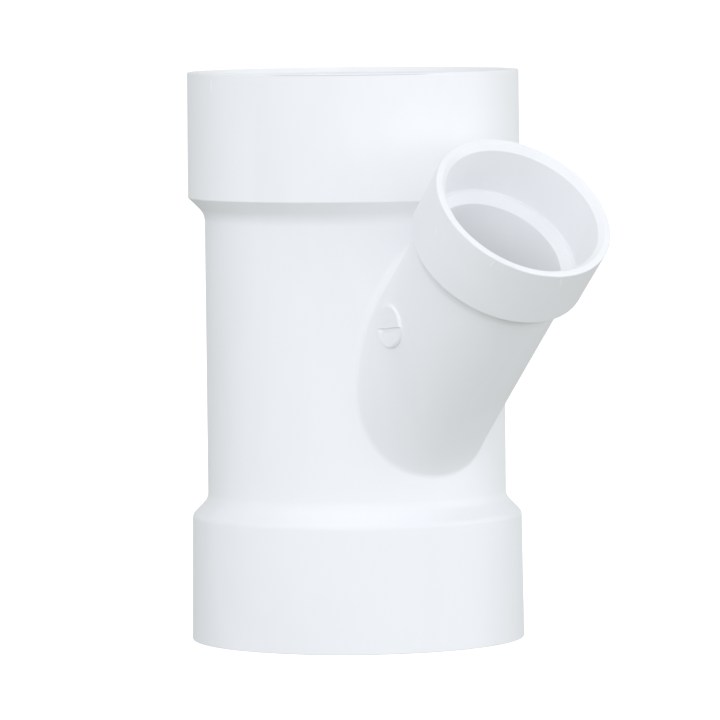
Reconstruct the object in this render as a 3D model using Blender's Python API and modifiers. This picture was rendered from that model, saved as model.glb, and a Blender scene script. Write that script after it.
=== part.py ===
"""A moulded white PVC drain fitting: a reducing 45 degree wye, with a large socket at each end of
its straight run and a small socket on the slanted branch. Metres, +Z up. The origin is on the run's
axis, in the plane of the lower rim, and the branch leans towards +X."""

import math

import bmesh
import bpy
from mathutils import Matrix, Vector

# Driving dimensions of the straight run, for nominal 4 inch drain pipe.
RUN_HEIGHT = 0.2177
RUN_BARREL_R = 0.05725
RUN_BORE_R = 0.0508
LARGE_SOCKET = {"mouth_r": 0.05734, "base_r": 0.05704, "depth": 0.0445, "chamfer": 0.0018}
LARGE_STOP = {"flat": 0.0054, "fall": 0.0008}
LOWER_HUB = {"length": 0.0482, "rim_r": 0.0638, "edge_r": 0.0632, "edge_round": 0.0035, "foot_round": 0.006}
UPPER_HUB = {"length": 0.0479, "rim_r": 0.0634, "edge_r": 0.0636, "edge_round": 0.0008, "foot_round": 0.007}

# Driving dimensions of the branch, for nominal 2 inch drain pipe.
BRANCH_ANGLE = math.radians(45)
BRANCH_CROSSING_Z = 0.0511
BRANCH_LENGTH = 0.1668
BRANCH_BARREL_R = 0.0301
BRANCH_BORE_R = 0.0254
SMALL_SOCKET = {"mouth_r": 0.0304, "base_r": 0.0301, "depth": 0.0226, "chamfer": 0.0019}
SMALL_STOP = {"flat": 0.0012, "fall": 0.0027}
BRANCH_HUB = {"length": 0.0254, "rim_r": 0.0347, "edge_r": 0.0345, "edge_round": 0.0011, "foot_round": 0.006}

# Slope of the hubs' shoulders, rounding, the root fillet and the gate mark.
SHOULDER_SLOPE = 45
RIM_ROUND = 0.0003
ROOT_FILLET_R = 0.0032
ROOT_OVERLAP = 0.0020
GATE_R = 0.0082
GATE_ALONG_BRANCH = 0.1028
GATE_ABOVE_AXIS = 0.0006
GATE_FACE_Y = -0.0311

# Hairline gap that keeps neighbouring sections apart, and how finely round shapes are divided.
GAP = 0.0003
RUN_STEPS = 72
BRANCH_STEPS = 48
EDGE_STEPS = 2
FOOT_STEPS = 3
FILLET_STEPS = 5
SHARP_EDGE = 25

PVC_WHITE = (0.86, 0.87, 0.89, 1.0)
PVC_ROUGHNESS = 0.45


def clear_scene():
    for item in list(bpy.data.objects):
        bpy.data.objects.remove(item, do_unlink=True)


def make_collection(name, hidden):
    collection = bpy.data.collections.new(name)
    bpy.context.scene.collection.children.link(collection)
    collection.hide_render = hidden
    return collection


def pvc(name):
    material = bpy.data.materials.new(name)
    material.use_nodes = True
    shader = material.node_tree.nodes["Principled BSDF"]
    shader.inputs["Base Color"].default_value = PVC_WHITE
    shader.inputs["Roughness"].default_value = PVC_ROUGHNESS
    shader.inputs["Metallic"].default_value = 0.0
    return material


def add_object(name, mesh, collection, placed):
    item = bpy.data.objects.new(name, mesh)
    collection.objects.link(item)
    item.matrix_world = placed
    return item


def turned(name, outline, steps, collection, placed):
    """A ring turned from a closed outline of (radius, height) points, down its outer side first."""
    mesh = bpy.data.meshes.new(name)
    count = len(outline)
    edges = [(i, (i + 1) % count) for i in range(count)]
    mesh.from_pydata([(r, 0.0, z) for r, z in outline], edges, [])
    item = add_object(name, mesh, collection, placed)
    screw = item.modifiers.new("turn", "SCREW")
    screw.axis = "Z"
    screw.steps = screw.render_steps = steps
    screw.use_merge_vertices = True
    screw.merge_threshold = 0.00001
    return item


def cylinder(name, radius, low, high, steps, collection, placed):
    """A plain solid cylinder along the local Z axis, from low to high."""
    mesh = bpy.data.meshes.new(name)
    body = bmesh.new()
    middle = Matrix.Translation((0, 0, (low + high) / 2))
    bmesh.ops.create_cone(body, cap_ends=True, segments=steps, radius1=radius, radius2=radius,
                          depth=high - low, matrix=middle)
    body.to_mesh(mesh)
    body.free()
    return add_object(name, mesh, collection, placed)


def helper(item):
    item.hide_render = True
    item.display_type = "WIRE"
    return item


def boolean(item, other, operation):
    modifier = item.modifiers.new(f"{operation.lower()}_{other.name}", "BOOLEAN")
    modifier.operation = operation
    modifier.solver = "EXACT"
    modifier.object = other


def finish(item):
    """Makes the modifiers' result the object's own mesh, smooth except at real edges."""
    bpy.context.view_layer.update()
    graph = bpy.context.evaluated_depsgraph_get()
    mesh = bpy.data.meshes.new_from_object(item.evaluated_get(graph))
    item.modifiers.clear()
    item.data = mesh
    mesh.name = item.name
    mesh.shade_smooth()
    mesh.set_sharp_from_angle(angle=math.radians(SHARP_EDGE))
    mesh.materials.clear()
    mesh.materials.append(pvc(item.name + "_pvc"))


def arc(centre_r, centre_z, radius, start, end, steps):
    """Points of a circular arc in an outline, angles in degrees from the outward direction."""
    angles = [math.radians(start + (end - start) * i / steps) for i in range(steps + 1)]
    return [(centre_r + radius * math.cos(a), centre_z + radius * math.sin(a)) for a in angles]


def hub_outline(height, hub, socket, stop, barrel_r, bore_r):
    """Half section of a hub, its rim up at height: rim, hub wall, sloped shoulder with a soft foot, bore,
    pipe stop (flat where the pipe meets it, then falling to the bore), tapered socket wall and entry
    chamfer. Returns it with the height of its foot."""
    edge_r, edge_round, foot_round = hub["edge_r"], hub["edge_round"], hub["foot_round"]
    half_turn = math.tan(math.radians(SHOULDER_SLOPE / 2))
    edge_z = height - hub["length"]
    foot_z = edge_z - (edge_r - barrel_r) / math.tan(math.radians(SHOULDER_SLOPE)) - foot_round * half_turn
    stop_z = height - socket["depth"]
    chamfer_z = height - socket["chamfer"]
    rim = [(hub["rim_r"] - RIM_ROUND, height), (hub["rim_r"], height - RIM_ROUND)]
    edge_middle = edge_z + edge_round * half_turn
    edge = arc(edge_r - edge_round, edge_middle, edge_round, 0, -SHOULDER_SLOPE, EDGE_STEPS)
    foot = arc(barrel_r + foot_round, foot_z, foot_round, 180 - SHOULDER_SLOPE, 180, FOOT_STEPS)
    ledge = [(bore_r, stop_z - stop["fall"]), (socket["base_r"] - stop["flat"], stop_z)]
    inside = [(socket["base_r"], stop_z), (socket["mouth_r"], chamfer_z)]
    entry = [(socket["mouth_r"] + socket["chamfer"], height)]
    return rim + edge + foot + [(bore_r, foot_z)] + ledge + inside + entry, foot_z


def root_section(around):
    """The root fillet's closed section at one angle around the branch, in world axes: an arc rolled
    between the two barrels, closed through the inside of both walls."""
    along = Vector((math.sin(BRANCH_ANGLE), 0, math.cos(BRANCH_ANGLE)))
    up = Vector((-math.cos(BRANCH_ANGLE), 0, math.sin(BRANCH_ANGLE)))
    out = up * math.cos(around) + Vector((0, 1, 0)) * math.sin(around)
    crossing = Vector((0, 0, BRANCH_CROSSING_Z))

    def meeting(branch_r, run_r):
        """Where a branch-wide cylinder of branch_r meets a run-wide cylinder of run_r."""
        side = branch_r * math.sin(around)
        reach = math.sqrt(run_r ** 2 - side ** 2)
        distance = (reach + branch_r * math.cos(BRANCH_ANGLE) * math.cos(around)) / along.x
        return crossing + along * distance + out * branch_r

    ball = ROOT_FILLET_R
    centre = meeting(BRANCH_BARREL_R + ball, RUN_BARREL_R + ball)
    to_branch = -out
    to_run = -Vector((centre.x, centre.y, 0)).normalized()
    curve = [centre + ball * to_branch.slerp(to_run, i / FILLET_STEPS) for i in range(FILLET_STEPS + 1)]
    buried = curve[-1] + to_run * ROOT_OVERLAP
    inner = meeting(BRANCH_BARREL_R - ROOT_OVERLAP, RUN_BARREL_R - ROOT_OVERLAP)
    return curve + [buried, inner]


def root_fillet(name, steps, collection):
    """The fillet where the branch leaves the run: its sections lofted into one closed ring."""
    sections = [root_section(2 * math.pi * i / steps) for i in range(steps)]
    size = len(sections[0])
    faces = []
    for i in range(steps):
        here, there = i * size, (i + 1) % steps * size
        for j in range(size):
            k = (j + 1) % size
            faces.append((here + j, here + k, there + k, there + j))
    mesh = bpy.data.meshes.new(name)
    mesh.from_pydata([point for section in sections for point in section], [], faces)
    body = bmesh.new()
    body.from_mesh(mesh)
    bmesh.ops.recalc_face_normals(body, faces=body.faces)
    body.to_mesh(mesh)
    body.free()
    return add_object(name, mesh, collection, Matrix())


def build():
    clear_scene()
    parts = make_collection("reducing_wye_fitting", hidden=False)
    cutters = make_collection("cutters", hidden=True)
    on_run = Matrix()
    upside_down = Matrix.Translation((0, 0, RUN_HEIGHT)) @ Matrix.Rotation(math.pi, 4, "X")
    on_branch = Matrix.Translation((0, 0, BRANCH_CROSSING_Z)) @ Matrix.Rotation(BRANCH_ANGLE, 4, "Y")

    # The large hubs at the two ends of the run, the lower one upside down.
    fit = LARGE_SOCKET, LARGE_STOP, RUN_BARREL_R, RUN_BORE_R
    outline, upper_foot = hub_outline(RUN_HEIGHT, UPPER_HUB, *fit)
    upper_hub = turned("upper_hub", outline, RUN_STEPS, parts, on_run)
    outline, lower_foot = hub_outline(RUN_HEIGHT, LOWER_HUB, *fit)
    lower_hub = turned("lower_hub", outline, RUN_STEPS, parts, upside_down)

    # The run's barrel between them, open to the branch.
    low, high = RUN_HEIGHT - lower_foot + GAP, upper_foot - GAP
    tube = [(RUN_BARREL_R, high), (RUN_BARREL_R, low), (RUN_BORE_R, low), (RUN_BORE_R, high)]
    run_barrel = turned("run_barrel", tube, RUN_STEPS, parts, on_run)
    port = helper(cylinder("branch_port", BRANCH_BORE_R, 0, BRANCH_LENGTH, BRANCH_STEPS, cutters, on_branch))
    boolean(run_barrel, port, "DIFFERENCE")

    # The small hub at the end of the branch.
    fit = SMALL_SOCKET, SMALL_STOP, BRANCH_BARREL_R, BRANCH_BORE_R
    outline, branch_foot = hub_outline(BRANCH_LENGTH, BRANCH_HUB, *fit)
    branch_hub = turned("branch_hub", outline, BRANCH_STEPS, parts, on_branch)

    # The branch's barrel with its root fillet, coped to the run.
    high, low = branch_foot - GAP, BRANCH_BORE_R
    tube = [(BRANCH_BARREL_R, high), (BRANCH_BARREL_R, low), (BRANCH_BORE_R, low), (BRANCH_BORE_R, high)]
    branch_barrel = turned("branch_barrel", tube, BRANCH_STEPS, parts, on_branch)
    fillet = helper(root_fillet("root_fillet", BRANCH_STEPS, cutters))
    coping = helper(cylinder("run_coping", RUN_BARREL_R + GAP, 0, RUN_HEIGHT, RUN_STEPS, cutters, on_run))
    boolean(branch_barrel, fillet, "UNION")
    boolean(branch_barrel, coping, "DIFFERENCE")

    # The round gate mark on the branch's side, shaped to the barrel behind it.
    middle = on_branch @ Vector((-GATE_ABOVE_AXIS, 0, GATE_ALONG_BRANCH))
    middle = Matrix.Translation(middle) @ Matrix.Rotation(math.pi / 2, 4, "X")
    gate = cylinder("gate_vestige", GATE_R, BRANCH_BORE_R, -GATE_FACE_Y, BRANCH_STEPS, parts, middle)
    seat_r = BRANCH_BARREL_R + GAP
    seat = helper(cylinder("gate_seat", seat_r, 0, BRANCH_LENGTH, BRANCH_STEPS, cutters, on_branch))
    boolean(gate, seat, "DIFFERENCE")

    for item in (lower_hub, run_barrel, upper_hub, branch_barrel, branch_hub, gate):
        finish(item)


build()
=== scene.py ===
"""Looks of the reducing wye: one white PVC moulding, shown as six sections that meet without a gap.

Each section is a closed skin with the true surface direction given at every corner, so that the seams
between the sections don't show. Metres, in the CAD model's frame: the run stands along +Z with its lower
rim at z = 0, and the branch leans towards +X at 45 degrees.
"""

import math

import bmesh
import bpy
import numpy as np
from mathutils import Matrix, Quaternion, Vector


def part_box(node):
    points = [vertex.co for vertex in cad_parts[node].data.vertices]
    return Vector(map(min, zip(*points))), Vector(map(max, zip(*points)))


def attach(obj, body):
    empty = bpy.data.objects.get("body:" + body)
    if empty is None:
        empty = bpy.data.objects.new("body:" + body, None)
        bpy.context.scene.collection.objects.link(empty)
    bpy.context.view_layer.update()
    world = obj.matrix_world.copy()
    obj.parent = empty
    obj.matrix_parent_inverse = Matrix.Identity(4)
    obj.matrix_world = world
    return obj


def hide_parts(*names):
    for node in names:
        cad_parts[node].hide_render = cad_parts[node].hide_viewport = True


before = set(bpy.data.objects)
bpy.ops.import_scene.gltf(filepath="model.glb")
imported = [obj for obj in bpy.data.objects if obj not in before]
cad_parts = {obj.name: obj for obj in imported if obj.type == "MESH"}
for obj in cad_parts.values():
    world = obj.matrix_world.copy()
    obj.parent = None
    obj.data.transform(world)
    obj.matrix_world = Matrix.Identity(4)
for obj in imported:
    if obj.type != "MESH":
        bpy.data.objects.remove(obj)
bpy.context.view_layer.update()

# Sizes of the run, as in the CAD model.
RUN_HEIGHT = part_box("upper_hub")[1].z
RUN_BARREL_R = 0.05725
RUN_BORE_R = 0.0508
LARGE_SOCKET = {"mouth_r": 0.05734, "base_r": 0.05704, "depth": 0.0445, "chamfer": 0.0018}
LARGE_STOP = {"flat": 0.0054, "fall": 0.0008}
LOWER_HUB = {"length": 0.0482, "rim_r": 0.0638, "edge_r": 0.0632, "edge_round": 0.0035, "foot_round": 0.006}
UPPER_HUB = {"length": 0.0479, "rim_r": 0.0634, "edge_r": 0.0636, "edge_round": 0.0008, "foot_round": 0.007}

# Sizes of the branch, as in the CAD model.
BRANCH_ANGLE = math.radians(45)
BRANCH_CROSSING_Z = 0.0511
BRANCH_LENGTH = 0.1668
BRANCH_BARREL_R = 0.0301
BRANCH_BORE_R = 0.0254
SMALL_SOCKET = {"mouth_r": 0.0304, "base_r": 0.0301, "depth": 0.0226, "chamfer": 0.0019}
SMALL_STOP = {"flat": 0.0012, "fall": 0.0027}
BRANCH_HUB = {"length": 0.0254, "rim_r": 0.0347, "edge_r": 0.0345, "edge_round": 0.0011, "foot_round": 0.006}
ROOT_FILLET_R = 0.0032
GATE_R = 0.0082
GATE_ALONG_BRANCH = 0.1028
GATE_ABOVE_AXIS = 0.0006
GATE_FACE_Y = -0.0311

# Shoulders of the hubs, as in the CAD model, and how far past their soft feet the seams lie.
SHOULDER_SLOPE = math.radians(45)
SEAM_MARGIN = 0.0010

# Small roundings, which only this script makes.
PORT_EDGE_R = 0.0010
STOP_EDGE_R = 0.0006
UPPER_RIM_ROUND = 0.0006
LOWER_RIM_ROUND = 0.0004
BRANCH_RIM_ROUND = 0.0006
CHAMFER_EDGE_R = 0.0003

# How finely the skins are divided.
RUN_STEPS = 256
BRANCH_STEPS = 256
ARC_STEP = math.radians(7.5)
WELD = 0.000001

along_branch = np.array([math.sin(BRANCH_ANGLE), 0, math.cos(BRANCH_ANGLE)])
up_branch = np.array([-math.cos(BRANCH_ANGLE), 0, math.sin(BRANCH_ANGLE)])
side_branch = np.array([0.0, 1.0, 0.0])
crossing = np.array([0, 0, BRANCH_CROSSING_Z])


# Skins: faces with the surface direction given at each corner.


class Skin:
    """A closed surface, collected as strips of four-sided faces."""

    def __init__(self, name):
        self.name = name
        self.corners = []
        self.facing = []

    def strip(self, points, facing):
        """Adds the faces between neighbours in a grid of points, whose outward directions are facing."""
        points, facing = np.asarray(points, float), np.asarray(facing, float)
        for grid, kept in ((points, self.corners), (facing, self.facing)):
            quads = [grid[:-1, :-1], grid[:-1, 1:], grid[1:, 1:], grid[1:, :-1]]
            kept.append(np.stack(quads, axis=2).reshape(-1, 4, 3))

    def build(self, placed=Matrix()):
        """Makes the object, its corners welded and every face turned outwards."""
        corners, facing = np.concatenate(self.corners), np.concatenate(self.facing)
        across = np.cross(corners[:, 2] - corners[:, 0], corners[:, 3] - corners[:, 1])
        inward = np.einsum("ij,ij->i", across, facing.mean(axis=1)) < 0
        corners[inward] = corners[inward, ::-1]
        facing[inward] = facing[inward, ::-1]
        cells = np.round(corners.reshape(-1, 3) / WELD).astype(np.int64)
        cells, first, face_corners = np.unique(cells, axis=0, return_index=True, return_inverse=True)
        mesh = bpy.data.meshes.new(self.name)
        mesh.from_pydata(corners.reshape(-1, 3)[first], [], face_corners.reshape(-1, 4))
        mesh.shade_smooth()
        mesh.normals_split_custom_set(facing.reshape(-1, 3))
        mesh.transform(placed)
        item = bpy.data.objects.new(self.name, mesh)
        bpy.context.scene.collection.objects.link(item)
        return item


def between(first, last, steps):
    """A new axis of evenly spaced points from first to last."""
    share = np.linspace(0, 1, steps + 1)[:, None]
    return first[..., None, :] * (1 - share) + last[..., None, :] * share


def swung(first, last, steps):
    """A new axis of directions that swing evenly from first to last."""
    share = np.linspace(0, 1, steps + 1)[:, None]
    whole = np.arccos(np.sum(first * last, axis=-1))[..., None, None]
    parts = first[..., None, :] * np.sin((1 - share) * whole) + last[..., None, :] * np.sin(share * whole)
    return parts / np.sin(whole)


def outline_runs(corners):
    """The lines and arcs of a closed outline, each as its points and outward directions. The corners
    are (radius, height, rounding), down the outer side first."""
    places = np.array([corner[:2] for corner in corners], float)
    count = len(corners)
    arcs = []
    for i, place in enumerate(places):
        rounding = corners[i][2]
        back, ahead = places[i - 1] - place, places[(i + 1) % count] - place
        back, ahead = back / np.linalg.norm(back), ahead / np.linalg.norm(ahead)
        facings = np.array([[back[1], -back[0]], [-ahead[1], ahead[0]]])
        if rounding == 0:
            arcs.append((np.array([place, place]), facings))
            continue
        half = np.arccos(back @ ahead) / 2
        inside = (back + ahead) / np.linalg.norm(back + ahead)
        centre = place + inside * rounding / np.sin(half)
        bulge = -np.sign(facings[0] @ inside)
        steps = max(3, math.ceil((math.pi - 2 * half) / ARC_STEP))
        facings = swung(facings[0], facings[1], steps)
        arcs.append((centre + bulge * rounding * facings, facings))
    lines = []
    for (points, facings), (next_points, next_facings) in zip(arcs, arcs[1:] + arcs[:1]):
        lines.append((np.array([points[-1], next_points[0]]), facings[[-1, -1]]))
    return lines + [arc for arc, corner in zip(arcs, corners) if corner[2] > 0]


def turned(skin, corners, steps):
    """Adds a ring turned round the Z axis from a closed outline."""
    turn = np.linspace(0, 2 * math.pi, steps + 1)[:, None]

    def spun(pairs):
        radius, height = pairs.T
        return np.stack([radius * np.cos(turn), radius * np.sin(turn), height + 0 * turn], axis=2)

    for points, facings in outline_runs(corners):
        skin.strip(spun(points), spun(facings))


# The three hubs.


def hub_corners(hub, socket, stop, barrel_r, bore_r, rim_round, seam_z):
    """Corners of a hub's outline, its rim up at height 0."""
    edge_z = -hub["length"]
    shoulder_foot_z = edge_z - (hub["edge_r"] - barrel_r) / math.tan(SHOULDER_SLOPE)
    stop_z = -socket["depth"]
    mouth_r, chamfer = socket["mouth_r"], socket["chamfer"]
    return [
        (hub["rim_r"], 0, rim_round),
        (hub["edge_r"], edge_z, hub["edge_round"]),
        (barrel_r, shoulder_foot_z, hub["foot_round"]),
        (barrel_r, seam_z, 0),
        (bore_r, seam_z, 0),
        (bore_r, stop_z - stop["fall"], STOP_EDGE_R),
        (socket["base_r"] - stop["flat"], stop_z, STOP_EDGE_R),
        (socket["base_r"], stop_z, STOP_EDGE_R / 2),
        (mouth_r, -chamfer, CHAMFER_EDGE_R),
        (mouth_r + chamfer, 0, CHAMFER_EDGE_R),
    ]


def seam_height(hub, barrel_r):
    """Height of a hub's seam, on the plain barrel just past the soft foot of its shoulder."""
    foot = (hub["edge_r"] - barrel_r) / math.tan(SHOULDER_SLOPE)
    return -hub["length"] - foot - hub["foot_round"] * math.tan(SHOULDER_SLOPE / 2) - SEAM_MARGIN


# The run's barrel, with the port that the branch opens into. A window of the wall's plain grid is
# left open round the port, and rings of faces join the port's outline to the window's.

PORT_RINGS = 14
PORT_RING_SPREAD = 1.3
PORT_EDGE_STEPS = 8
PORT_WALL_ROWS = 4
WINDOW_HALF_STEPS = 32
WINDOW_MARGIN = 0.0050
WINDOW_ROWS = 48


def out_of_branch(around):
    """Directions straight out of the branch's axis, at angles around it."""
    around = np.asarray(around)[..., None]
    return up_branch * np.cos(around) + side_branch * np.sin(around)


def out_of_run(points):
    """Level directions out of the run's axis towards points."""
    flat = points * [1, 1, 0]
    return flat / np.linalg.norm(flat, axis=-1, keepdims=True)


def meeting(branch_r, run_r, around):
    """Where a cylinder of branch_r along the branch meets one of run_r along the run, at angles around
    the branch. The angle is 0 at the crotch and a quarter turn towards +Y."""
    reach = np.sqrt(run_r ** 2 - (branch_r * np.sin(around)) ** 2)
    distance = (reach + branch_r * math.cos(BRANCH_ANGLE) * np.cos(around)) / math.sin(BRANCH_ANGLE)
    out = out_of_branch(around) * np.asarray(branch_r)[..., None]
    return crossing + along_branch * distance[..., None] + out


def rolled_edge(branch_r, run_r, ball, around, steps):
    """Points and the ball's directions of a rounded edge from the branch's cylinder to the run's, as a
    ball rolls along the outer sides of both."""
    centre = meeting(branch_r + ball, run_r + ball, around)
    facing = swung(out_of_branch(around), out_of_run(centre), steps)
    return centre[..., None, :] - ball * facing, facing


def window_nodes(half_turn_steps, low_z, high_z, rows):
    """Angle and height of the points round a window in the barrel's wall, from its top middle on."""
    step = 2 * math.pi / RUN_STEPS
    across = [k * step for k in range(-half_turn_steps, half_turn_steps + 1)]
    heights = [low_z + (high_z - low_z) * k / rows for k in range(rows + 1)]
    top = [(a, high_z) for a in across[half_turn_steps:]]
    right = [(across[-1], z) for z in heights[-2::-1]]
    bottom = [(a, low_z) for a in across[-2::-1]]
    left = [(across[0], z) for z in heights[1:]]
    return top + right + bottom + left + [(a, high_z) for a in across[1:half_turn_steps + 1]]


def on_run(radius, angle, height):
    """Points at a radius, an angle and a height round the run's axis."""
    return np.stack(np.broadcast_arrays(radius * np.cos(angle), radius * np.sin(angle), height), axis=-1)


def pierced_wall(skin, radius, side, edge, nodes, window, low_z, high_z):
    """Adds a wall of the run's barrel around the port. side is 1 for its outer face and -1 for its bore,
    edge the port's outline on it and nodes the window that joins the port to the plain grid."""
    half_turn_steps, window_low, window_high, rows = window
    step = 2 * math.pi / RUN_STEPS

    def add(angles, heights):
        angle, height = np.meshgrid(angles, heights, indexing="ij")
        skin.strip(on_run(radius, angle, height), side * on_run(1, angle, 0 * height))

    beyond = np.arange(half_turn_steps, RUN_STEPS - half_turn_steps + 1) * step
    window_heights = [window_low + (window_high - window_low) * k / rows for k in range(rows + 1)]
    add(np.arange(RUN_STEPS + 1) * step, [low_z, window_low])
    add(np.arange(RUN_STEPS + 1) * step, [window_high, high_z])
    add(beyond, window_heights)

    edge_angle, edge_height = np.arctan2(edge[:, 1], edge[:, 0]), edge[:, 2]
    node_angle, node_height = nodes.T
    share = np.linspace(0, 1, PORT_RINGS + 1)[:, None] ** PORT_RING_SPREAD
    angle = edge_angle + (node_angle - edge_angle) * share
    height = edge_height + (node_height - edge_height) * share
    skin.strip(on_run(radius, angle, height), side * on_run(1, angle, 0 * height))


def run_barrel(low_z, high_z):
    """The straight barrel between the large hubs' seams, closed at both ends by flat rings."""
    skin = Skin("run_barrel_wall")
    lowest = meeting(BRANCH_BORE_R + PORT_EDGE_R, RUN_BORE_R + PORT_EDGE_R, np.pi)[2]
    highest = meeting(BRANCH_BORE_R, RUN_BARREL_R, 0.0)[2]
    window = (WINDOW_HALF_STEPS, lowest - WINDOW_MARGIN, highest + WINDOW_MARGIN, WINDOW_ROWS)
    nodes = np.array(window_nodes(*window))

    # Each node's angle around the branch, so that the port's outline spreads evenly towards the window.
    stretch = 1 / math.cos(BRANCH_ANGLE)
    around = np.arctan2(stretch * RUN_BARREL_R * nodes[:, 0], nodes[:, 1] - (lowest + highest) / 2)

    outer_edge = meeting(BRANCH_BORE_R, RUN_BARREL_R, around)
    edge, edge_facing = rolled_edge(BRANCH_BORE_R, RUN_BORE_R, PORT_EDGE_R, around, PORT_EDGE_STEPS)
    skin.strip(edge, -edge_facing)
    tunnel = between(outer_edge, edge[:, 0], PORT_WALL_ROWS)
    skin.strip(tunnel, np.broadcast_to(-out_of_branch(around)[:, None], tunnel.shape))
    pierced_wall(skin, RUN_BARREL_R, 1, outer_edge, nodes, window, low_z, high_z)
    pierced_wall(skin, RUN_BORE_R, -1, edge[:, -1], nodes, window, low_z, high_z)

    angle = (np.arange(RUN_STEPS + 1) * 2 * math.pi / RUN_STEPS)[:, None]
    for height, side in ((low_z, -1), (high_z, 1)):
        ring = on_run(np.array([RUN_BARREL_R, RUN_BORE_R]), angle, height)
        skin.strip(ring, np.broadcast_to([0, 0, side], ring.shape))
    return skin.build()


# The branch's barrel, with the fillet at its root.

FILLET_STEPS = 16
BARREL_ROWS = 12
COPE_ROWS = 6


def branch_barrel(seam_along):
    """The slanted barrel from the run's outer face to the small hub's seam."""
    skin = Skin("branch_barrel_wall")
    around = np.linspace(0, 2 * math.pi, BRANCH_STEPS + 1)
    out = out_of_branch(around)
    fillet, fillet_facing = rolled_edge(BRANCH_BARREL_R, RUN_BARREL_R, ROOT_FILLET_R, around, FILLET_STEPS)
    skin.strip(fillet, fillet_facing)

    end = crossing + along_branch * seam_along
    outer_end, inner_end = end + out * BRANCH_BARREL_R, end + out * BRANCH_BORE_R
    root = meeting(BRANCH_BORE_R, RUN_BARREL_R, around)
    outer = between(fillet[:, 0], outer_end, BARREL_ROWS)
    inner = between(root, inner_end, BARREL_ROWS)
    cope = between(root, fillet[:, -1], COPE_ROWS)
    cope = RUN_BARREL_R * out_of_run(cope) + cope * [0, 0, 1]
    lid = between(outer_end, inner_end, 1)
    skin.strip(outer, np.broadcast_to(out[:, None], outer.shape))
    skin.strip(inner, np.broadcast_to(-out[:, None], inner.shape))
    skin.strip(cope, -out_of_run(cope))
    skin.strip(lid, np.broadcast_to(along_branch, lid.shape))
    return skin.build()


# The gate mark: a shallow disc with a slit across it. Under the slit its face starts low and rises
# towards the disc's lower edge, and above the slit it is finely scored. It is at least GATE_PROUD thick.

GATE_CELLS = 128
GATE_EDGE = 0.0010
GATE_LOWER_FALL = 0.00055
GATE_LOWER_RISE = 0.0045
STRIATION_DEPTH = 0.00005
STRIATION_PITCH = 0.0009
SLIT_TILT = math.radians(5.4)
SLIT_BELOW_MIDDLE = 0.00125
SLIT_BEYOND_MIDDLE = 0.00090
SLIT_HALF_HEIGHT = 0.00068
SLIT_HALF_LENGTH = 0.0075
SLIT_END_FADE = 0.0021
SLIT_DEPTH = 0.0018
GATE_PROUD = 0.00002


def smooth(x):
    """Rises softly from 0 to 1 as x does."""
    x = np.clip(x, 0, 1)
    return x * x * (3 - 2 * x)


def gate_mark():
    """A height field over a disc that faces -Y, its back fitted to the branch's barrel."""
    skin = Skin("gate_mark")
    u, v = np.meshgrid(*[np.linspace(-1, 1, GATE_CELLS + 1)] * 2, indexing="ij")
    x = GATE_R * u * np.sqrt(1 - v * v / 2)
    z = GATE_R * v * np.sqrt(1 - u * u / 2)
    middle = crossing + along_branch * GATE_ALONG_BRANCH + up_branch * GATE_ABOVE_AXIS
    across = GATE_ABOVE_AXIS + x * up_branch[0] + z * up_branch[2]
    wall_y = -np.sqrt(BRANCH_BARREL_R ** 2 - across ** 2)
    inset = GATE_R - np.hypot(x, z)
    along_slit = x * math.cos(SLIT_TILT) + z * math.sin(SLIT_TILT)
    over_slit = z * math.cos(SLIT_TILT) - x * math.sin(SLIT_TILT) + SLIT_BELOW_MIDDLE
    at_slit = smooth((SLIT_HALF_LENGTH - np.abs(along_slit - SLIT_BEYOND_MIDDLE)) / SLIT_END_FADE)
    slit = smooth(2 * (1 - np.abs(over_slit) / SLIT_HALF_HEIGHT))
    upper = smooth(0.5 + over_slit / (2 * SLIT_HALF_HEIGHT))
    low = (1 - upper) * np.clip(1 + over_slit / GATE_LOWER_RISE, 0, 1)
    scored = upper * (1 - np.cos(2 * math.pi * over_slit / STRIATION_PITCH)) / 2
    face_y = GATE_FACE_Y + (GATE_LOWER_FALL * low + SLIT_DEPTH * slit) * at_slit + STRIATION_DEPTH * scored
    edge = np.clip(1 - inset / GATE_EDGE, 0, 1)
    face_y = face_y + GATE_EDGE * (1 - np.sqrt(1 - edge * edge))
    face_y = np.minimum(face_y, wall_y - GATE_PROUD)

    def field(y):
        return np.stack([middle[0] + x, y, middle[2] + z], axis=2)

    def facing(points):
        by_u, by_v = np.gradient(points, axis=0), np.gradient(points, axis=1)
        normal = np.cross(by_u, by_v)
        return normal / np.linalg.norm(normal, axis=2, keepdims=True)

    front, back = field(face_y), field(wall_y)
    skin.strip(front, facing(front))
    skin.strip(back, -facing(back))
    # Once round the square grid's border, from its first corner back to it.
    rising, falling = np.arange(GATE_CELLS), np.arange(GATE_CELLS, 0, -1)
    first, last = 0 * rising, GATE_CELLS + 0 * rising
    i = np.concatenate([rising, last, falling, first, [0]])
    j = np.concatenate([first, rising, last, falling, [0]])
    rim = np.stack([front[i, j], back[i, j]], axis=1)
    outward = rim - middle
    outward[..., 1] = 0
    skin.strip(rim, outward / np.linalg.norm(outward, axis=2, keepdims=True))
    return skin.build()


# Materials.


def node(tree, kind, **values):
    """Adds a shader node, sets its properties, and links or sets its inputs, named as in inputs."""
    made = tree.nodes.new(kind)
    inputs = values.pop("inputs", {})
    for key, value in values.items():
        setattr(made, key, value)
    for key, value in inputs.items():
        if isinstance(value, bpy.types.NodeSocket):
            tree.links.new(value, made.inputs[key])
        else:
            made.inputs[key].default_value = value
    return made


def ramp(tree, factor, stops):
    """A colour ramp through (position, colour) stops."""
    made = node(tree, "ShaderNodeValToRGB", inputs={"Fac": factor})
    elements = made.color_ramp.elements
    while len(elements) < len(stops):
        elements.new(0.5)
    for element, (position, colour) in zip(elements, stops):
        element.position = position
        element.color = (*colour, 1)
    return made.outputs["Color"]


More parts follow.
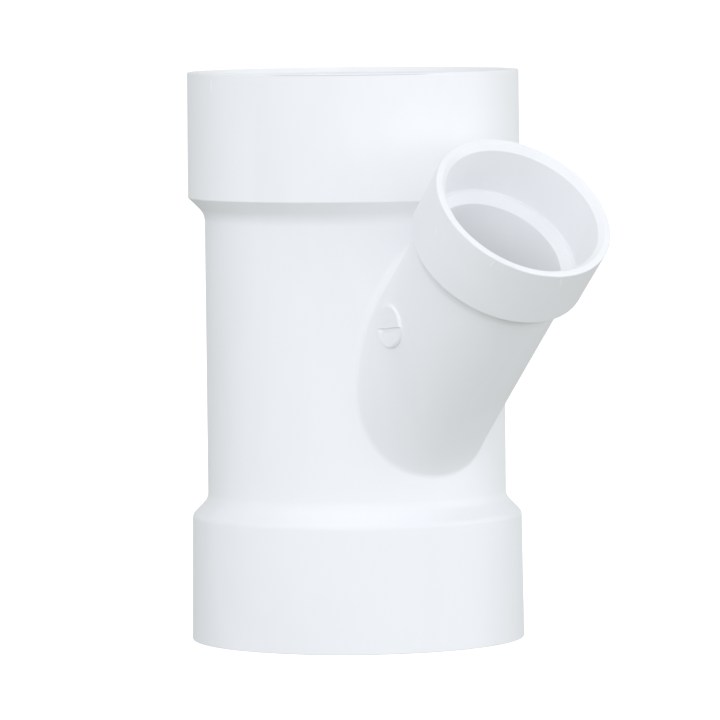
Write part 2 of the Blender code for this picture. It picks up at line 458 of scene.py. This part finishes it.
PVC_WHITE = (0.86, 0.87, 0.89)
PVC_SHADE = (0.82, 0.833, 0.852)
PVC_SCRATCHED = (0.97, 0.975, 0.98)
# Dark colour of the painted shade line on the upper rim's edge.
PVC_PAINTED_RIM_SHADE = (0.50, 0.51, 0.53)
PVC_ROUGHNESS = (0.40, 0.52)
PVC_IOR = 1.53
PARTING_HALF_WIDTHS = (0.00008, 0.00030)


def on_small_hub(along, around):
    """A place on the small hub's outer side and the outward direction there."""
    out = out_of_branch(math.radians(around))
    return crossing + along_branch * along + out * BRANCH_HUB["rim_r"], out


# Light scratches from handling, as middle, outward direction, direction along the scratch, half length
# and half width. They reach MARK_REACH above and below the surface.
MARK_REACH = 0.0020
SCRATCHES = [
    (*on_small_hub(0.1642, 224.5), (0.79, 0.12, 0.60), 0.0024, 0.00042),
    (*on_small_hub(0.1634, 178), (-0.69, 0.30, -0.66), 0.0034, 0.00075),
    (*on_small_hub(0.1572, 268), (0, 0, 1), 0.0022, 0.00036),
    ((0.0006, -0.0634, 0.2128), (0, -1, 0), (0, 0, 1), 0.0032, 0.0007),
]

# Painted shade: a fine dark line coloured along a part of the upper rim's outer edge, on the arc towards the
# camera, in place of the shade of a fine groove there; the rim itself has no groove.
RIM_LINE_Z = 0.21722
RIM_LINE_TURN = math.radians(-33)
RIM_LINE_HALF_TURN = math.radians(31)
RIM_LINE_HALF_WIDTH = 0.00024


def maths(tree, operation, *values):
    """One step of arithmetic on sockets and numbers."""
    made = node(tree, "ShaderNodeMath", operation=operation, inputs=dict(enumerate(values)))
    return made.outputs[0]


def fade(tree, value, start, end):
    """1 up to start, falling to 0 at end."""
    made = node(tree, "ShaderNodeMapRange", interpolation_type="SMOOTHSTEP", inputs={
        "Value": value, "From Min": start, "From Max": end, "To Min": 1.0, "To Max": 0.0})
    return made.outputs["Result"]


def oval(tree, place, middle, out, way, half_length, half_width):
    """How much a point belongs to an oval mark on the surface: 1 in the middle, 0 at its edge."""
    out = Vector(out).normalized()
    across = out.cross(Vector(way)).normalized()
    turn = Matrix((across.cross(out), across, out)).transposed().to_euler()
    local = node(tree, "ShaderNodeMapping", vector_type="TEXTURE", inputs={
        "Vector": place, "Location": middle, "Rotation": turn,
        "Scale": (half_length, half_width, MARK_REACH)})
    distance = node(tree, "ShaderNodeVectorMath", operation="LENGTH", inputs={0: local.outputs[0]})
    return fade(tree, distance.outputs["Value"], 0.3, 1.0)


def painted_rim_shade(tree, place, x, y, z):
    """How much a point belongs to the painted shade line on the upper rim's edge, a dark colour that stands
    in for shade.
    """
    off_line = maths(tree, "ABSOLUTE", maths(tree, "SUBTRACT", z, RIM_LINE_Z))
    radius = node(tree, "ShaderNodeVectorMath", operation="LENGTH", inputs={
        0: node(tree, "ShaderNodeCombineXYZ", inputs={0: x, 1: y}).outputs[0]}).outputs["Value"]
    towards = (math.cos(RIM_LINE_TURN), math.sin(RIM_LINE_TURN), 0)
    facing = node(tree, "ShaderNodeVectorMath", operation="DOT_PRODUCT", inputs={0: place, 1: towards})
    turn = maths(tree, "ARCCOSINE", maths(tree, "DIVIDE", facing.outputs["Value"], radius))
    inside = (UPPER_HUB["rim_r"] + LARGE_SOCKET["mouth_r"]) / 2
    shares = [fade(tree, off_line, 0.4 * RIM_LINE_HALF_WIDTH, RIM_LINE_HALF_WIDTH),
              fade(tree, turn, 0.7 * RIM_LINE_HALF_TURN, RIM_LINE_HALF_TURN),
              maths(tree, "GREATER_THAN", radius, inside)]
    return maths(tree, "MULTIPLY", maths(tree, "MULTIPLY", shares[0], shares[1]), shares[2])


def mixed(tree, share, first, second):
    """A colour between two, each a socket or three parts: the first at share 0, the second at 1."""
    mix = node(tree, "ShaderNodeMix", data_type="RGBA", inputs={0: share})
    for socket, value in ((6, first), (7, second)):
        if isinstance(value, bpy.types.NodeSocket):
            tree.links.new(value, mix.inputs[socket])
        else:
            mix.inputs[socket].default_value = (*value, 1)
    return mix.outputs[2]


def bump(tree, height, strength, distance, under=None):
    """A bump, on top of another one where under gives it."""
    inputs = {"Height": height, "Strength": strength, "Distance": distance}
    if under:
        inputs["Normal"] = under
    return node(tree, "ShaderNodeBump", inputs=inputs).outputs["Normal"]


def stretched(tree, place, along_run):
    """Places whose height is scaled by along_run, so that a pattern is drawn out along the run."""
    made = node(tree, "ShaderNodeMapping", inputs={"Vector": place, "Scale": (1, 1, along_run)})
    return made.outputs[0]


def noise(tree, place, scale, detail, distortion=0.0):
    """Cloudy noise, whose patches get smaller as scale grows."""
    inputs = {"Vector": place, "Scale": scale, "Detail": detail, "Distortion": distortion}
    return node(tree, "ShaderNodeTexNoise", inputs=inputs).outputs["Fac"]


def moulded_pvc(name):
    material = bpy.data.materials.new(name)
    material.use_nodes = True
    tree = material.node_tree
    shader = tree.nodes["Principled BSDF"]
    place = node(tree, "ShaderNodeTexCoord").outputs["Object"]
    x, y, z = node(tree, "ShaderNodeSeparateXYZ", inputs={0: place}).outputs

    # Cloudy flow marks, drawn out along the run, as molten plastic leaves them.
    flow_place = stretched(tree, place, 0.35)
    flow = noise(tree, flow_place, scale=28.0, detail=5.0, distortion=0.8)
    colour = ramp(tree, flow, [(0.30, PVC_SHADE), (0.62, PVC_WHITE)])

    # Handling scratches, which are lighter, and a painted shade line on the upper rim's edge, a dark colour
    # in place of shade.
    scratched = None
    for scratch in SCRATCHES:
        share = oval(tree, place, *scratch)
        scratched = share if scratched is None else maths(tree, "MAXIMUM", scratched, share)
    line = painted_rim_shade(tree, place, x, y, z)
    colour = mixed(tree, scratched, colour, PVC_SCRATCHED)
    # Painted shade: the line on the upper rim's edge is darkened in the colour, not by light.
    colour = mixed(tree, line, colour, PVC_PAINTED_RIM_SHADE)
    tree.links.new(colour, shader.inputs["Base Color"])

    # Patches that are a little duller.
    patches = noise(tree, place, scale=55.0, detail=6.0)
    dull = node(tree, "ShaderNodeMapRange", inputs={
        "Value": patches, "From Min": 0.3, "From Max": 0.7,
        "To Min": PVC_ROUGHNESS[0], "To Max": PVC_ROUGHNESS[1]})
    tree.links.new(dull.outputs["Result"], shader.inputs["Roughness"])

    # A fine grain, slow waves, draw marks along the run, and the parting line that the mould's two halves
    # leave all round, in the plane of the run's and the branch's axes.
    grain = noise(tree, place, scale=2600.0, detail=2.0)
    waves = noise(tree, flow_place, scale=70.0, detail=2.0)
    drawn = noise(tree, stretched(tree, place, 0.04), scale=420.0, detail=2.0)
    parting = fade(tree, maths(tree, "ABSOLUTE", y), *PARTING_HALF_WIDTHS)
    normal = bump(tree, grain, strength=0.10, distance=0.0001)
    normal = bump(tree, waves, strength=0.25, distance=0.0008, under=normal)
    normal = bump(tree, drawn, strength=0.12, distance=0.0001, under=normal)
    normal = bump(tree, parting, strength=0.5, distance=0.00006, under=normal)
    normal = bump(tree, scratched, strength=0.6, distance=0.00015, under=normal)
    tree.links.new(normal, shader.inputs["Normal"])
    shader.inputs["IOR"].default_value = PVC_IOR
    return material


# The studio: a pale floor, soft lights and the camera.

FLOOR_R = 11.0
FLOOR_STEPS = 96
BACKDROP_R = 12.0
STUDIO_GLOW = 1.0
CAMERA_PLACE = (2.04192, -1.27218, 0.2684)
CAMERA_AIM = (0.00087, 0.00139, 0.10664)
CAMERA_ROLL = math.radians(-0.6)
CAMERA_LENS_MM = 314.2
SENSOR_MM = 36.0
PICTURE_GAMMA = 1.6


def make_camera():
    data = bpy.data.cameras.new("camera")
    data.sensor_width = SENSOR_MM
    data.lens = CAMERA_LENS_MM
    data.clip_start, data.clip_end = 0.05, 100.0
    item = bpy.data.objects.new("camera", data)
    bpy.context.scene.collection.objects.link(item)
    looking = (Vector(CAMERA_AIM) - Vector(CAMERA_PLACE)).to_track_quat("-Z", "Y")
    item.rotation_mode = "QUATERNION"
    item.rotation_quaternion = looking @ Quaternion((0, 0, 1), CAMERA_ROLL)
    item.location = CAMERA_PLACE
    bpy.context.scene.camera = item


def studio_surface(name, mesh):
    """A pale surface that only the camera sees: it gives the object no bounce and blocks no light. It
    glows, so that it stays evenly white, and isn't seen from behind."""
    item = bpy.data.objects.new(name, mesh)
    bpy.context.scene.collection.objects.link(item)
    item.visible_diffuse = item.visible_glossy = item.visible_transmission = item.visible_shadow = False
    material = bpy.data.materials.new(name + "_white")
    material.use_nodes = True
    tree = material.node_tree
    shader = tree.nodes["Principled BSDF"]
    shader.inputs["Base Color"].default_value = (0.8, 0.8, 0.8, 1)
    shader.inputs["Roughness"].default_value = 0.9
    shader.inputs["Specular IOR Level"].default_value = 0.0
    shader.inputs["Emission Color"].default_value = (1, 1, 1, 1)
    shader.inputs["Emission Strength"].default_value = STUDIO_GLOW
    behind = node(tree, "ShaderNodeNewGeometry").outputs["Backfacing"]
    clear = node(tree, "ShaderNodeBsdfTransparent")
    mix = node(tree, "ShaderNodeMixShader", inputs={0: behind, 1: shader.outputs[0], 2: clear.outputs[0]})
    tree.links.new(mix.outputs[0], tree.nodes["Material Output"].inputs["Surface"])
    mesh.materials.append(material)


def make_floor():
    angle = np.linspace(0, 2 * math.pi, FLOOR_STEPS, endpoint=False)
    mesh = bpy.data.meshes.new("floor")
    mesh.from_pydata(on_run(FLOOR_R, angle, 0 * angle), [], [range(len(angle))])
    studio_surface("floor", mesh)


def make_backdrop():
    """A white dome all round, which hides the lighting's surroundings from the camera."""
    mesh = bpy.data.meshes.new("backdrop")
    dome = bmesh.new()
    bmesh.ops.create_uvsphere(dome, u_segments=48, v_segments=24, radius=BACKDROP_R)
    bmesh.ops.reverse_faces(dome, faces=dome.faces)
    dome.to_mesh(mesh)
    dome.free()
    studio_surface("backdrop", mesh)


# The surroundings' light from below, from the horizon and from above: on the camera's side of the
# object, and behind it, where the studio is darker and so gives a white object its outline. Heights
# run from 0 straight below to 1 straight above, and sides from -1 behind to 1 at the camera.
FRONT_LIGHT = (0.20, 0.216, 0.184), (2.17, 2.32, 2.54), (0.28, 0.286, 0.32)
BACK_LIGHT = (0.206, 0.215, 0.185), (0.55, 0.574, 0.53), (0.10, 0.10, 0.10)
LIGHT_HEIGHTS = (0.42, 0.47, 0.54, 0.62)
FRONT_FROM, FRONT_TO = -0.35, 0.15


def make_world():
    world = bpy.data.worlds.new("studio")
    bpy.context.scene.world = world
    world.use_nodes = True
    tree = world.node_tree
    way = node(tree, "ShaderNodeTexCoord").outputs["Generated"]
    height = node(tree, "ShaderNodeSeparateXYZ", inputs={0: way}).outputs["Z"]
    share = node(tree, "ShaderNodeMapRange", inputs={"Value": height, "From Min": -1.0, "From Max": 1.0})
    front, back = [
        ramp(tree, share.outputs["Result"], list(zip(LIGHT_HEIGHTS, (low, level, level, high))))
        for low, level, high in (FRONT_LIGHT, BACK_LIGHT)]
    camera_side = Vector((CAMERA_PLACE[0], CAMERA_PLACE[1], 0)).normalized()
    facing = node(tree, "ShaderNodeVectorMath", operation="DOT_PRODUCT", inputs={0: way, 1: camera_side})
    front_share = node(tree, "ShaderNodeMapRange", interpolation_type="SMOOTHSTEP", inputs={
        "Value": facing.outputs["Value"], "From Min": FRONT_FROM, "From Max": FRONT_TO})
    light = mixed(tree, front_share.outputs["Result"], back, front)
    tree.links.new(light, tree.nodes["Background"].inputs["Color"])
    tree.nodes["Background"].inputs["Strength"].default_value = 1.0


def softbox(name, azimuth, elevation, size, power, colour):
    """A large soft light aimed at the middle of the object. Azimuth 0 is the camera's side, and it
    grows towards the camera's right."""
    data = bpy.data.lights.new(name, "AREA")
    data.shape = "SQUARE"
    data.size = size
    data.energy = power
    data.color = colour
    item = bpy.data.objects.new(name, data)
    bpy.context.scene.collection.objects.link(item)
    camera_turn = math.atan2(CAMERA_PLACE[1], CAMERA_PLACE[0])
    turn, lift = camera_turn + math.radians(azimuth), math.radians(elevation)
    way = Vector((math.cos(turn) * math.cos(lift), math.sin(turn) * math.cos(lift), math.sin(lift)))
    item.location = Vector((LIGHTS_AIM_X, 0, RUN_HEIGHT / 2)) + way * SOFTBOX_DISTANCE
    item.rotation_mode = "QUATERNION"
    item.rotation_quaternion = way.to_track_quat("Z", "Y")
    item.visible_camera = False


# Azimuth and elevation in degrees, side in metres, power in watts, and colour.
SOFTBOX_DISTANCE = 2.4
LIGHTS_AIM_X = 0.02
SOFTBOXES = [
    ("key", -12, 18, 1.2, 11.6, (0.964, 0.966, 1.0)),
    ("key_right", 12, 18, 1.2, 4.8, (0.969, 0.963, 1.0)),
    ("left", -60, 52, 1.2, 7.5, (0.952, 0.968, 1.0)),
    ("right", 85, 18, 1.2, 16.9, (0.963, 0.979, 1.0)),
    ("top", 0, 87, 2.0, 15.5, (0.954, 1.0, 0.905)),
    ("back", 180, 42, 1.6, 9.0, (0.96, 0.98, 1.0)),
]


def make_studio():
    view = bpy.context.scene.view_settings
    view.view_transform, view.gamma = "Standard", PICTURE_GAMMA
    make_camera()
    make_floor()
    make_backdrop()
    make_world()
    for box in SOFTBOXES:
        softbox(*box)


def make_hub(name, hub, socket, stop, wall, rim_round, steps, placed):
    """A hub with its socket, from its rim to its seam. wall is its barrel's outer and bore radius."""
    skin = Skin(name)
    turned(skin, hub_corners(hub, socket, stop, *wall, rim_round, seam_height(hub, wall[0])), steps)
    return skin.build(placed)


def make_fitting():
    """The six sections, each in place of its own CAD node."""
    large = (LARGE_SOCKET, LARGE_STOP, (RUN_BARREL_R, RUN_BORE_R))
    small = (SMALL_SOCKET, SMALL_STOP, (BRANCH_BARREL_R, BRANCH_BORE_R))
    at_top = Matrix.Translation((0, 0, RUN_HEIGHT))
    upside_down = Matrix.Rotation(math.pi, 4, "X")
    mouth = crossing + along_branch * BRANCH_LENGTH
    at_mouth = Matrix.Translation(mouth) @ Matrix.Rotation(BRANCH_ANGLE, 4, "Y")
    upper_seam = RUN_HEIGHT + seam_height(UPPER_HUB, RUN_BARREL_R)
    lower_seam = -seam_height(LOWER_HUB, RUN_BARREL_R)
    branch_seam = BRANCH_LENGTH + seam_height(BRANCH_HUB, BRANCH_BARREL_R)
    pieces = {
        "upper_hub": make_hub("upper_hub_wall", UPPER_HUB, *large, UPPER_RIM_ROUND, RUN_STEPS,
                              at_top),
        "lower_hub": make_hub("lower_hub_wall", LOWER_HUB, *large, LOWER_RIM_ROUND, RUN_STEPS,
                              upside_down),
        "branch_hub": make_hub("branch_hub_wall", BRANCH_HUB, *small, BRANCH_RIM_ROUND, BRANCH_STEPS,
                               at_mouth),
        "run_barrel": run_barrel(lower_seam, upper_seam),
        "branch_barrel": branch_barrel(branch_seam),
        "gate_vestige": gate_mark(),
    }
    material = moulded_pvc("moulded_white_pvc")
    for cad_node, piece in pieces.items():
        piece.data.materials.append(material)
        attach(piece, "root")
        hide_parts(cad_node)


make_studio()
make_fitting()
